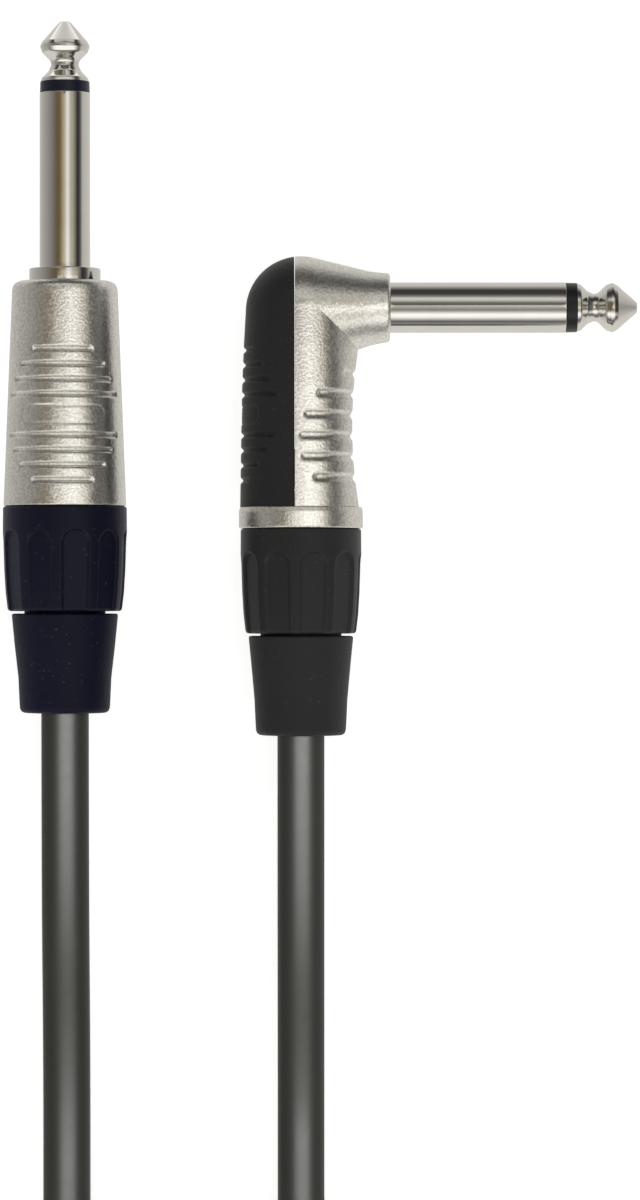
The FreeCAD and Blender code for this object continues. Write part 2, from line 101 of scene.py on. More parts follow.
class Finish:
    """A node tree: a new material's, or the one given."""

    def __init__(self, name, tree=None):
        if tree is None:
            self.material = bpy.data.materials.new(name)
            self.material.use_nodes = True
            tree = self.material.node_tree
            tree.nodes.clear()
            output = tree.nodes.new("ShaderNodeOutputMaterial")
            self.shader = tree.nodes.new("ShaderNodeBsdfPrincipled")
            tree.links.new(self.shader.outputs[0], output.inputs["Surface"])
        self.tree = tree

    def node(self, kind, settings=None, inputs=None, output=0, stops=None):
        """Adds a node with its settings, a ramp's stops and the values or links of its inputs."""
        made = self.tree.nodes.new(kind)
        for name, value in (settings or {}).items():
            setattr(made, name, value)
        if stops:
            colours = made.color_ramp.elements
            for place, colour in stops:
                colours.new(place).color = (*colour, 1)
            # The ramp's own two stops are now its first and its last
            colours.remove(colours[0])
            colours.remove(colours[-1])
        for name, value in (inputs or {}).items():
            self.feed(made.inputs[name], value)
        return Wire(self, made.outputs[output])

    def feed(self, socket, value):
        """Links a Wire to a socket or sets the socket's own value, giving a colour its alpha."""
        if isinstance(value, Wire):
            self.tree.links.new(value.socket, socket)
        elif isinstance(value, tuple) and socket.type == "RGBA":
            socket.default_value = (*value, 1)
        else:
            socket.default_value = value

    def set(self, **values):
        """Sets sockets of the shader: base_color becomes Base Color."""
        for name, value in values.items():
            words = name.replace("_", " ").title().replace("Ior", "IOR")
            self.feed(self.shader.inputs[words], value)

    def place(self):
        return self.node("ShaderNodeTexCoord", output=3)

    def noise(self, scale, detail=3.0, place=None):
        inputs = {"Vector": place or self.place(), "Scale": scale, "Detail": detail}
        return self.node("ShaderNodeTexNoise", inputs=inputs)

    def blend(self, factor, first, second):
        return self.node("ShaderNodeMix", {"data_type": "RGBA"}, {0: factor, 6: first, 7: second}, output=2)

    def bump(self, height, distance, strength=1.0, under=None):
        inputs = {"Height": height, "Distance": distance, "Strength": strength}
        if under:
            inputs["Normal"] = under
        self.feed(self.shader.inputs["Normal"], self.node("ShaderNodeBump", inputs=inputs))


TABLE_HALF = 3
TABLE_DROP = 0.2 * MM
table_corners = [(TABLE_HALF * x, TABLE_HALF * y, 0) for x, y in ((-1, -1), (1, -1), (1, 1), (-1, 1))]
table_mesh = bpy.data.meshes.new("table")
table_mesh.from_pydata(table_corners, [], [(0, 1, 2, 3)])
table = bpy.data.objects.new("table", table_mesh)
bpy.context.scene.collection.objects.link(table)
table.location.z = -TABLE_DROP
table.visible_glossy = False
table_finish = Finish("table_white")
table_grain = table_finish.noise(40)
table_finish.set(base_color=table_finish.blend(table_grain, (0.80, 0.80, 0.80), (0.82, 0.82, 0.82)),
                 roughness=0.9, specular_ior_level=0.0, emission_color=(1.0, 1.0, 1.0),
                 emission_strength=0.76)
table_mesh.materials.append(table_finish.material)

TENT_STRENGTH = 1.4
TENT_SEEN = (0.66, 0.66, 0.66)
# The castings' taper leans what they mirror this far along the plugs, and this much either side of
# that still mirrors the tent's sides alone
TAPER_LEAN = 0.0875
SIDES_ALONE = 0.03
world = bpy.data.worlds.new("tent")
world.use_nodes = True
bpy.context.scene.world = world
tent = Finish("tent", world.node_tree)
background = next(n for n in world.node_tree.nodes if n.type == "BACKGROUND")
direction = tent.node("ShaderNodeTexCoord", output=0)
split = tent.node("ShaderNodeSeparateXYZ", inputs={0: direction}).socket.node
across, along, up = (Wire(tent, output) for output in split.outputs)


def tent_ramp(side, levels):
    """Brightness round the tent in one upright plane, as degrees off the zenith towards a side, each
    with a warm grey's level or a colour. The ramp reads the angle as a share of a full turn."""
    turn = side.maths("ARCTAN2", side, up) * (0.5 / math.pi) + 0.5
    stops = []
    for angle, level in levels:
        colour = level if isinstance(level, tuple) else (level, level * 0.985, level * 0.95)
        stops.append((0.5 + angle / 360, tuple(c / TENT_STRENGTH for c in colour)))
    return tent.node("ShaderNodeValToRGB", inputs={0: turn}, stops=stops)


side_light = tent_ramp(across, [
    (-179, 0.66), (-150, 0.64), (-109, 0.475), (-83, 0.375), (-60, 0.265), (-42, (0.19, 0.16, 0.12)),
    (-30, (0.155, 0.12, 0.07)), (-18, (0.19, 0.15, 0.08)), (-8, (0.42, 0.35, 0.2)), (0, (0.60, 0.52, 0.36)),
    (6, 0.70), (13, 1.0), (20, 0.92), (28, 0.52), (38, (0.50, 0.44, 0.30)), (52, 0.20), (60, 0.04),
    (68, 0.05), (78, 0.13), (90, 0.55), (103, 0.63), (144, 0.72), (179, 0.68),
])
end_light = tent_ramp(along, [
    (-179, 0.75), (-120, 0.83), (-96, 0.81), (-82, 0.30), (-68, 0.14), (-56, 0.75), (-46, 1.30), (-34, 1.38),
    (-20, 0.50), (-6, 0.13), (8, 0.08), (20, 0.22), (32, 0.75), (40, 0.80), (50, 0.255), (62, 0.06),
    (84, 0.05), (98, 0.3), (116, 0.70), (179, 0.75),
])
side_share = across.maths("ABSOLUTE", across)
end_share = across.maths("MAXIMUM", across.maths("ABSOLUTE", along - TAPER_LEAN) - SIDES_ALONE, 0.0)
share = across.maths("DIVIDE", end_share, side_share + end_share + 0.001)
walls = tent.blend(share.ramp(0.25, 0.5), side_light, end_light)
seen = tent.node("ShaderNodeLightPath", output=0)
tent.feed(background.inputs["Color"], tent.blend(seen, walls, TENT_SEEN))
background.inputs["Strength"].default_value = TENT_STRENGTH


def softbox(name, place, size, power):
    """A rectangular lamp, facing the middle of the view."""
    light = bpy.data.lights.new(name, "AREA")
    light.shape = "RECTANGLE"
    light.size, light.size_y = size
    light.energy = power
    lamp = bpy.data.objects.new(name, light)
    lamp.location = place
    aim = Vector((0, view_centre_y, 0)) - lamp.location
    lamp.rotation_euler = aim.to_track_quat("-Z", "Y").to_euler()
    bpy.context.scene.collection.objects.link(lamp)
    return lamp


LAMP_HEIGHT = 0.9
softbox("overhead", (0.17, view_centre_y, LAMP_HEIGHT), (0.2, 1.2), 0.25)

# ---- The cable --------------------------------------------------------------------------------
# One 3 m instrument lead of 6 mm PVC-jacketed coaxial cable. It leaves both strain reliefs straight,
# comes down to the table and is wound into a neat coil, whose turns step in and up layer by layer.
CABLE = 0.006
STRAIGHT_END = [
    (-0.0321, -0.0111, 0.0078), (-0.0321, -0.0600, 0.0078), (-0.0321, -0.0860, 0.0030),
    (-0.0321, -0.1061, 0.0030), (-0.0321, -0.1199, 0.0030), (-0.0369, -0.1328, 0.0030),
]
ANGLE_END = [
    (0.0087, -0.1255, 0.0030), (0.0014, -0.1169, 0.0030), (-0.0024, -0.1063, 0.0030),
    (-0.0024, -0.1010, 0.0030), (-0.0024, -0.0885, 0.0030), (-0.0024, -0.0625, 0.0078),
    (-0.0024, -0.0139, 0.0078),
]
COIL_OUTER, COIL_INNER = 46.5, 19.5
COIL_MIDDLE = 0.0345
LAYER = 0.0052
TOP_LAYER = 3
STRAP_ROOM = 0.0013
# Places round the coil in degrees: where the cable comes in and goes out, where each turn shifts to
# its next place, where the strap is, and how far either side of it the turns come down again
JOIN, LEAVE = 146.0, 52.4
STEP_START, STEP_END = 285.0, 335.0
STRAP_AT, STRAP_FADE = 270, 22
COIL_POINTS, POINT_STEP = 331, 15
# The last turn sinks to this height where it crosses the first stretch, then lands over this arc
CROSSING, LANDING = 0.0061, 55
# Each turn's place in the bundle: how far out from the coil's middle in mm, and which layer
TURN_PLACES = [(9, 0), (3, 0), (-3, 0), (-9, 0), (-12, 1), (-6, 1), (0, 1), (3, 2), (-3, 2), (-9, 2),
               (-12, 3), (-6, 3), (0, 3), (9, 3), (9, 0)]
coil_low, coil_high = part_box("cable_coil")
coil_x = (coil_low.x + coil_high.x) / 2
coil_y = coil_high.y - COIL_OUTER * MM


def smooth(x):
    """0 below 0, 1 above 1, and x squared times (3 - 2x) between them."""
    x = np.clip(x, 0, 1)
    return x * x * (3 - 2 * x)


def coil_points(count):
    """The coil's control points: each turn holds its place and shifts to the next one over the same arc.

    A point's place round the coil grows evenly. Its radius is divided by the cosine of half a step,
    because the curve between the points runs inside them."""
    angle = np.linspace(JOIN, LEAVE + 360 * (len(TURN_PLACES) - 1), count)
    turn = np.floor((angle - STEP_START) / 360).astype(int) + 1
    shift = smooth((angle - STEP_START - 360 * (turn - 1)) / (STEP_END - STEP_START))
    places = np.array(TURN_PLACES, float)
    before, after = places[np.maximum(turn - 1, 0)], places[turn]
    out, layer = (before + (after - before) * np.where(turn > 0, shift, 1)[:, None]).T
    top = LAYER * TOP_LAYER
    last = STEP_END + 360 * (len(TURN_PLACES) - 3)
    sinking = np.clip((angle - last) / 360, 0, 1)
    height = np.where(angle > last, top + (CROSSING - top) * sinking, LAYER * layer)
    height = np.where(angle > last + 360, CROSSING * (1 - smooth((angle - last - 360) / LANDING)), height)
    from_strap = np.abs((angle - STRAP_AT + 180) % 360 - 180)
    height = height + STRAP_ROOM * smooth(1.6 - from_strap / STRAP_FADE)
    radius = (COIL_MIDDLE + out * MM) / math.cos(math.radians(POINT_STEP / 2))
    angle = np.radians(angle)
    x, y = coil_x + radius * np.cos(angle), coil_y + radius * np.sin(angle)
    return np.stack([x, y, CABLE / 2 + height], axis=1)


route = np.concatenate([np.array(STRAIGHT_END), coil_points(COIL_POINTS), np.array(ANGLE_END)])
curve = bpy.data.curves.new("cable", "CURVE")
curve.dimensions = "3D"
curve.resolution_u = 6
curve.bevel_depth = CABLE / 2
curve.bevel_resolution = 6
curve.use_fill_caps = True
spline = curve.splines.new("NURBS")
spline.points.add(len(route) - 1)
spline.points.foreach_set("co", np.hstack([route, np.ones((len(route), 1))]).ravel())
spline.order_u = 3
spline.use_endpoint_u = True
cable = bpy.data.objects.new("cable", curve)
bpy.context.scene.collection.objects.link(cable)

jacket = Finish("cable_jacket")
scuff = jacket.noise(900, 4)
mottle = jacket.noise(60, 2)
jacket.set(base_color=jacket.blend(mottle, (0.0065, 0.0065, 0.0050), (0.0095, 0.0095, 0.0075)),
           roughness=0.38 + 0.10 * scuff, specular_ior_level=0.28)
jacket.bump(scuff, 0.02 * MM, 0.3)
curve.materials.append(jacket.material)
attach(cable, "root")
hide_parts("cable_lead_straight", "cable_lead_angle", "cable_coil")


def light_only(lamp, *pieces):
    """Keeps a lamp's light to the given pieces."""
    lit = bpy.data.collections.new(f"lit_by_{lamp.name}")
    for lit_piece in pieces:
        lit.objects.link(lit_piece)
    lamp.light_linking.receiver_collection = lit


# A long lamp for the jacket alone draws the single soft highlight down its middle
light_only(softbox("cable_strip", (0.10, view_centre_y, LAMP_HEIGHT), (0.16, 1.2), 31.0), cable)

# ---- The strap round the coil -----------------------------------------------------------------
# Hook-and-loop strap of woven nylon, 16 mm wide and 1 mm thick, wrapped once round the bundle with
# its free end pressed down on top of its start.
STRAP_HALF_WIDTH = 8.0
STRAP_HALF_THICK = 0.5
STRAP_TURNS = 1.22
STRAP_START = 2.0
LAP = 1.05
LAP_START, LAP_FADE = 5.6, 0.5
CORNER_POWER = 0.42
BUNDLE_HALF_UP = 11.4
BUNDLE_UP = 12.0
bundle_half_out = (COIL_OUTER - COIL_INNER) / 2 + 0.3
bundle_out = (COIL_OUTER + COIL_INNER) / 2


def band(path):
    """A flat band along a path of (out, up) in one plane: its rows of points there, and how far each
    lies across that plane. Its section is an oval with nearly square ends, whose two halves follow
    the cosine and the sine of a turn raised to small powers, and its thickness is along the path's
    normal."""
    tangent = np.gradient(path, axis=0)
    tangent /= np.linalg.norm(tangent, axis=1)[:, None]
    normal = np.stack([-tangent[:, 1], tangent[:, 0]], axis=1)
    turn = np.linspace(0, 2 * math.pi, 25)[:-1]
    wide = STRAP_HALF_WIDTH * np.sign(np.cos(turn)) * np.abs(np.cos(turn)) ** 0.25
    thick = STRAP_HALF_THICK * np.sign(np.sin(turn)) * np.abs(np.sin(turn)) ** 0.5
    rows = path[:, None, :] + normal[:, None, :] * thick[None, :, None]
    return rows, np.broadcast_to(wide, rows.shape[:2])


def piece_from(name, grids, finish, body, slot, *stands_for):
    """One object from grids of points (rows, columns, xyz) in mm that close round their columns.

    A grid marked as a loop closes round its rows too, and an open one is capped by its end rows."""
    corners, faces, start = [], [], 0
    for points, loop in grids:
        rows, columns = points.shape[:2]
        i, j = np.meshgrid(np.arange(rows if loop else rows - 1), np.arange(columns), indexing="ij")
        a, b = i * columns + j, i * columns + (j + 1) % columns
        c, d = (i + 1) % rows * columns + (j + 1) % columns, (i + 1) % rows * columns + j
        faces += (start + np.stack([a, b, c, d], axis=-1).reshape(-1, 4)).tolist()
        if not loop:
            faces.append((start + np.arange(columns)).tolist())
            faces.append((start + (rows - 1) * columns + np.arange(columns)).tolist())
        corners.append(points.reshape(-1, 3))
        start += rows * columns
    mesh = bpy.data.meshes.new(name)
    mesh.from_pydata((np.concatenate(corners) * MM).tolist(), [], faces)
    cleaned = bmesh.new()
    cleaned.from_mesh(mesh)
    bmesh.ops.remove_doubles(cleaned, verts=cleaned.verts, dist=1e-7)
    bmesh.ops.recalc_face_normals(cleaned, faces=cleaned.faces)
    cleaned.to_mesh(mesh)
    cleaned.free()
    mesh.shade_smooth()
    mesh.set_sharp_from_angle(angle=math.radians(50))
    made = bpy.data.objects.new(name, mesh)
    bpy.context.scene.collection.objects.link(made)
    if finish:
        mesh.materials.append(finish.material)
    if body:
        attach(made, body)
        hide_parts(*stands_for)
    return made


wrap = np.linspace(0, 2 * math.pi * STRAP_TURNS, 150)
lap = LAP * smooth((wrap - LAP_START) / LAP_FADE)
cosine, sine = np.cos(wrap + STRAP_START), np.sin(wrap + STRAP_START)
strap_path = np.stack([
    (bundle_half_out + 0.9 + lap) * np.sign(cosine) * np.abs(cosine) ** CORNER_POWER,
    (BUNDLE_HALF_UP + 0.05 + lap) * np.sign(sine) * np.abs(sine) ** CORNER_POWER,
], axis=1)
# Above its outermost turn the bundle narrows, and the strap is pulled down slanting over it
pull = np.array([0.655, 0.756])
PULL_REACH, PULL_SOFTNESS = 10.9, 0.6
past = strap_path @ pull - PULL_REACH
strap_path = strap_path - PULL_SOFTNESS * np.logaddexp(0, past / PULL_SOFTNESS)[:, None] * pull
strap_rows, strap_across = band(strap_path)
strap_points = np.stack([
    coil_x / MM + strap_across,
    coil_y / MM - bundle_out - strap_rows[..., 0],
    BUNDLE_UP + strap_rows[..., 1],
], axis=-1)
strap_finish = Finish("strap_weave")
weave_place = strap_finish.place()
weave_inputs = {"Vector": weave_place, "Scale": 420.0}
ribs = strap_finish.node("ShaderNodeTexWave", {"bands_direction": "X"}, weave_inputs)
picks = strap_finish.node("ShaderNodeTexWave", {"bands_direction": "Y"}, weave_inputs)
fuzz = strap_finish.noise(1800, 4, weave_place)
weave = ribs * picks + 0.5 * fuzz
strap_finish.set(base_color=strap_finish.blend(weave, (0.008, 0.008, 0.009), (0.035, 0.035, 0.037)),
                 roughness=0.85, sheen_weight=0.4)
strap_finish.bump(weave, 0.15 * MM, 0.6)
strap = piece_from("strap", [(strap_points, False)], strap_finish, "root", "strap", "cable_tie")

# ---- The jacks --------------------------------------------------------------------------------
# Both plugs carry the same two-contact 6.35 mm jack: a turned ball tip on a rod, a dark insulating
# ring and a plain tube. Tip and tube are nickel plated and polished. Lengths run back from the tip.
JACK_R = 3.175
ROD_R = 1.1
SLEEVE_BORE_R = 2.225
SEAT_R = 3.7
RING_START, SLEEVE_START, SHOULDER, COLLAR_END, SLEEVE_END = 7.6, 9.0, 31.1, 32.7, 36.2


def outline(corners, spacing, loop=True):
    """Corners of (radius, along, rounding) as an even run of points.

    A corner becomes the quadratic curve between the two places where an arc of its rounding would
    touch its sides, which lie the rounding times the tangent of half the turn away."""
    points = np.array(corners, float)
    place, rounding = points[:, :2], points[:, 2]
    count = len(points)
    pieces = []
    for k in range(count):
        here = place[k]
        if not loop and k in (0, count - 1):
            pieces.append(here[None])
            continue
        back, on = place[k - 1] - here, place[(k + 1) % count] - here
        back_length, on_length = np.linalg.norm(back), np.linalg.norm(on)
        back, on = back / back_length, on / on_length
        half_turn = (math.pi - math.acos(np.clip(back @ on, -1, 1))) / 2
        reach = min(rounding[k] * math.tan(half_turn), 0.49 * back_length, 0.49 * on_length)
        if reach < 1e-6:
            pieces.append(here[None])
            continue
        part = np.linspace(0, 1, max(3, int(np.degrees(half_turn) / 7) + 2))[:, None]
        bend = (1 - part) ** 2 * (here + back * reach) + part**2 * (here + on * reach)
        pieces.append(bend + 2 * part * (1 - part) * here)
    bent = np.concatenate(pieces + ([pieces[0][:1]] if loop else []))
    rows = [bent[:1]]
    for a, b in zip(bent[:-1], bent[1:]):
        steps = max(1, math.ceil(np.linalg.norm(b - a) / spacing))
        rows.append(a + (b - a) * (np.arange(1, steps + 1) / steps)[:, None])
    run = np.concatenate(rows)
    return run[:-1] if loop else run


def turned(profile, sides, relief=None):
    """A profile of (radius, along) carried round the Y axis, towards -Y.

    relief(radius, along, angle) gives each point's new radius."""
    angle = np.linspace(0, 2 * math.pi, sides, endpoint=False)
    radius, back = (np.broadcast_to(v[:, None], (len(profile), sides)) for v in profile.T)
    angle = np.broadcast_to(angle, radius.shape)
    if relief:
        radius = relief(radius, back, angle)
    return np.stack([radius * np.cos(angle), -back, radius * np.sin(angle)], axis=-1)


def lying(points, x, y, quarter=False):
    """Points of a plug's own axes laid on the table at (x, y); a quarter turn points its tip along +X."""
    px, py, pz = np.moveaxis(points, -1, 0)
    if quarter:
        px, py = py, -px
    return np.stack([px + x, py + y, pz + axis_z / MM], axis=-1)


def middle(node, side):
    """The middle of a node's box along X (0) or Y (1), in mm."""
    lowest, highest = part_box(node)
    return (lowest[side] + highest[side]) / 2 / MM


polished = Finish("polished_nickel")
streak = polished.noise(300, 3)
fine = polished.noise(2600, 2)
polished.set(base_color=polished.blend(streak, (0.70, 0.68, 0.64), (0.76, 0.74, 0.70)), metallic=1.0,
             roughness=0.07 + 0.05 * streak)
polished.bump(fine, 0.004 * MM, 0.3)


def ring_finish(name, dark, light):
    """Moulded plastic of a faintly speckled dark tone."""
    finish = Finish(name)
    fleck = finish.noise(1200, 2)
    finish.set(base_color=finish.blend(fleck, dark, light), roughness=0.35, specular_ior_level=0.35)
    finish.bump(fleck, 0.01 * MM, 0.3)
    return finish


ring_finishes = {
    "straight": ring_finish("ring_navy", (0.006, 0.008, 0.024), (0.010, 0.012, 0.032)),
    "angle": ring_finish("ring_black", (0.013, 0.014, 0.016), (0.019, 0.020, 0.022)),
}

# The cone, the ball's edge, the waist and the shoulder, then the rod and the rivet at its rear
tip_profile = outline([
    (0, 0, 0), (0.62, 0, 0.5), (2.83, 2.53, 0.2), (3.16, 3.15, 0.55), (2.86, 3.95, 0.5), (1.86, 4.95, 0.9),
    (1.70, 5.45, 0.9), (2.10, 6.3, 0.9), (2.92, 7.15, 0.5), (3.04, RING_START, 0.0), (ROD_R, RING_START, 0),
    (ROD_R, 38.6, 0), (1.7, 38.6, 0.1), (1.5, 39.2, 0.2), (0, 39.2, 0),
], 0.12, loop=False)
ring_profile = outline([
    (ROD_R, RING_START, 0), (3.10, RING_START, 0.1), (3.13, SLEEVE_START, 0.1), (ROD_R, SLEEVE_START, 0),
], 0.3)
shoulders = {
    "straight": [(JACK_R, SHOULDER, 0.15), (4.48, SHOULDER, 0.2), (4.48, COLLAR_END, 0.1),
                 (SEAT_R, COLLAR_END, 0)],
    "angle": [(JACK_R, SHOULDER, 0.1), (SEAT_R, SHOULDER, 0.1)],
}
jack_places = {
    "straight": (middle("straight_tip", 0), tip_end_y / MM, False),
    "angle": (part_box("angle_tip")[1].x / MM, middle("angle_tip", 1), True),
}
jack_pieces = {}
for plug, (x, y, quarter) in jack_places.items():
    sleeve_profile = outline([
        (SLEEVE_BORE_R, SLEEVE_START, 0), (JACK_R, SLEEVE_START, 0.12), *shoulders[plug],
        (SEAT_R, SLEEVE_END, 0), (SLEEVE_BORE_R, SLEEVE_END, 0),
    ], 0.5)
    for piece, profile, loop, finish, slot in (
        ("tip", tip_profile, False, polished, "polished_nickel"),
        ("tip_insulator", ring_profile, True, ring_finishes[plug], "insulator"),
        ("sleeve", sleeve_profile, True, polished, "polished_nickel"),
    ):
        points = lying(turned(profile, 128), x, y, quarter)
        node = f"{plug}_{piece}"
        jack_pieces[node] = piece_from(f"{node}_turned", [(points, loop)], finish, "root", slot, node)

# A card beyond the straight plug's point whitens its tip alone
straight_x = middle("straight_tip", 0)
tip_card = softbox("tip_card", (straight_x * MM, 0.40, 0.0), (0.5, 0.4), 0.36)
light_only(tip_card, jack_pieces["straight_tip"])

# ---- The straight plug's shell ----------------------------------------------------------------
# Die-cast zinc, bead blasted and nickel plated to a satin. Eight shallow grip grooves, each a little
# shorter or longer than the next, stand four each side of a blank oval badge, on top and below. The
# nut screws on a thread behind it.
SHELL_LENGTH = 28.3
BORE_R = 5.0
SPIGOT_R = 5.9
SPIGOT_LENGTH = 9.0
THREAD_PITCH = 1.5
THREAD_DEPTH = 0.42
GROOVE_DEPTH = 0.34
GROOVE_HALF_WIDTH = 0.48
GROOVE_PITCH = 1.88
BADGE_SPAN = 5.1
BADGE_HALF_LENGTH, BADGE_HALF_HEIGHT = 5.6, 1.12
SHELL_BADGE = 16.95
# How far round from the badge's middle each groove runs, in degrees
WRAPS = [30, 46, 56, 64, 62, 54, 43, 28]
groove_lifts = [(number - 3) * GROOVE_PITCH - BADGE_SPAN / 2 for number in range(4)]
groove_lifts += [-lift for lift in reversed(groove_lifts)]


def turn_from(angle, facing):
    """How far an angle is from a facing direction, in radians from 0 to pi."""
    return np.abs((angle - math.radians(facing) + math.pi) % (2 * math.pi) - math.pi)


def groove(radius, back, angle, centre, facing, wrap, half_width):
    """A round-ended groove: deepest along its middle line, fading out as a cosine of the distance from it."""
    past_end = np.maximum(turn_from(angle, facing) - math.radians(wrap), 0) * radius
    away = np.hypot(back - centre, past_end) / half_width
    return GROOVE_DEPTH * 0.5 * (1 + np.cos(math.pi * np.minimum(away, 1)))


def badge(radius, back, angle, centre, facing):
    """A blank oval: a fine line round a faintly sunk field, both set by the distance from its middle line."""
    past_end = np.maximum(turn_from(angle, facing) * radius - (BADGE_HALF_LENGTH - BADGE_HALF_HEIGHT), 0)
    away = np.hypot(back - centre, past_end)
    line = 0.11 * np.exp(-(((away - BADGE_HALF_HEIGHT) / 0.13) ** 2))
    return line + 0.05 * smooth((BADGE_HALF_HEIGHT - away) / 0.2)


def grips(radius, back, angle, centre, facing):
    """Depth cut by the badge and by the grooves each side of it."""
    cut = badge(radius, back, angle, centre, facing)
    for lift, wrap in zip(groove_lifts, WRAPS):
        cut = cut + groove(radius, back, angle, centre + lift, facing, wrap, GROOVE_HALF_WIDTH)
    return cut


def threaded(radius, back, angle, start):
    """A right-hand vee thread cut in the spigot, fading in and out at its ends; the rest stays as it is.

    Its depth follows the distance from the nearest crest, which moves back one pitch a turn."""
    phase = (back / THREAD_PITCH - angle / (2 * math.pi)) % 1
    vee = 1 - np.abs(phase * 2 - 1)
    run = smooth((back - start - 0.5) / 0.6) * smooth((start + SPIGOT_LENGTH - 0.2 - back) / 0.5)
    cut = radius - THREAD_DEPTH * smooth(vee * 1.3 - 0.15) * run
    return np.where((radius > SPIGOT_R - 0.3) & (back > start + 0.05), cut, radius)


def shell_relief(radius, back, angle):
    """Grips on top and below, and the spigot's thread."""
    outside = (radius > 6.0) & (back > 1.0) & (back < SHELL_LENGTH - 0.4)
    cut = sum(grips(radius, back, angle, SHELL_BADGE, facing) for facing in (90, 270))
    return threaded(np.where(outside, radius - cut, radius), back, angle, SHELL_LENGTH)


satin = Finish("satin_nickel")
sand = satin.noise(3100, 2.5)
speck = sand.ramp(0.36, 0.64)
blotch = satin.noise(240, 3)
worn = satin.node("ShaderNodeNewGeometry", output=7).ramp(0.52, 0.62)
rounded_edge = satin.node("ShaderNodeBevel", {"samples": 4}, {"Radius": 0.12 * MM})
satin_tone = satin.blend(speck * 0.8 + blotch * 0.2, (0.67, 0.65, 0.60), (0.93, 0.91, 0.86))
satin.set(base_color=satin_tone, metallic=1.0, roughness=0.25 + 0.14 * sand - 0.05 * worn)
satin.bump(sand, 0.04 * MM, 0.9, under=rounded_edge)

spigot_end = SHELL_LENGTH + SPIGOT_LENGTH
outer_wall = outline([
    (SEAT_R, 0, 0), (6.60, 0, 1.35), (7.72, SHELL_LENGTH, 0.25), (SPIGOT_R, SHELL_LENGTH, 0.1),
    (SPIGOT_R, spigot_end, 0.3), (BORE_R, spigot_end, 0.2),
], 0.125, loop=False)
inner_wall = outline([
    (BORE_R, spigot_end - 0.1, 0), (BORE_R, 3.5, 0.3), (SEAT_R, 3.5, 0), (SEAT_R, 0.2, 0),
], 1.5, loop=False)
shell_points = turned(np.concatenate([outer_wall, inner_wall]), 224, shell_relief)
shell_y = tip_end_y / MM - COLLAR_END
straight_shell = piece_from("straight_shell_cast", [(lying(shell_points, straight_x, shell_y), True)], satin,
                            "root", "satin_nickel", "straight_shell")

# ---- The clamping nuts ------------------------------------------------------------------------
# Injection-moulded nylon, one on each plug, with ten round-topped flats for the fingers below a plain
# band. The straight plug's is navy black, the other neutral black. It screws on the shell's spigot.
FLUTES = 10
FLUTE_START = 3.0
FLUTE_HALF_TURN = 13
FLUTE_DEPTH = 0.45
NUT_GAP = 0.05
NUT_END = 13.2


def plastic(name, dark, light, roughness):
    """Moulded black plastic: a cloudy tone, a fine texture, soft edges and a few specks of dust."""
    finish = Finish(name)
    texture = finish.noise(1500, 3)
    cloud = finish.noise(120, 2)
    soft_edge = finish.node("ShaderNodeBevel", {"samples": 4}, {"Radius": 0.1 * MM})
    dust = finish.noise(2300, 1).ramp(0.70, 0.76)
    finish.set(base_color=finish.blend(dust * 0.5, finish.blend(cloud, dark, light), (0.09, 0.09, 0.10)),
               roughness=roughness + 0.12 * texture, specular_ior_level=0.20)
    finish.bump(texture, 0.02 * MM, 0.35, under=soft_edge)
    return finish


def fluted(nut_r, turn):
    """The nut's relief: flat-bottomed flutes with round tops, and its own radius between them.

    A flute's floor is a plane, so its radius grows as one over the cosine of the turn from its
    middle, and its edge is a smooth step in the distance from its outline."""

    def relief(radius, back, angle):
        period = 2 * math.pi / FLUTES
        off = (angle - math.radians(turn) + period / 2) % period - period / 2
        sideways = np.abs(off) * nut_r
        half = nut_r * math.sin(math.radians(FLUTE_HALF_TURN))
        above = np.maximum(FLUTE_START + half - back, 0)
        inside = np.where(above > 0, half - np.hypot(sideways, above), half - sideways)
        floor = (radius - FLUTE_DEPTH) / np.cos(off)
        cut = radius + (np.minimum(floor, radius) - radius) * smooth(inside / 0.22 + 0.35)
        return np.where(radius > nut_r - 1.2, cut, radius)

    return relief


nuts = {
    "straight": (straight_x, shell_y - SHELL_LENGTH, 7.80, 4.7,
                 plastic("nut_navy", (0.0045, 0.0060, 0.0210), (0.0070, 0.0085, 0.0260), 0.36)),
    "angle": (middle("angle_nut", 0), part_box("angle_nut")[1].y / MM + NUT_GAP, 7.6, 6.0,
              plastic("nut_black", (0.0290, 0.0315, 0.0325), (0.0380, 0.0405, 0.0420), 0.36)),
}
for plug, (x, y, nut_r, turn, finish) in nuts.items():
    nut_profile = outline([
        (6.2, NUT_GAP, 0), (nut_r - 0.02, NUT_GAP, 0.3), (nut_r, 3.2, 4), (nut_r - 0.15, 8.0, 8),
        (nut_r - 0.32, 10.8, 6), (nut_r - 0.60, NUT_END, 0.5), (5.4, NUT_END, 0.15), (5.4, 11.5, 0),
        (6.2, 11.5, 0),
    ], 0.14)
    points = lying(turned(nut_profile, 320, fluted(nut_r, turn)), x, y)
    piece_from(f"{plug}_nut_moulded", [(points, True)], finish, f"{plug}_nut_turn", "nut_plastic",
               f"{plug}_nut")

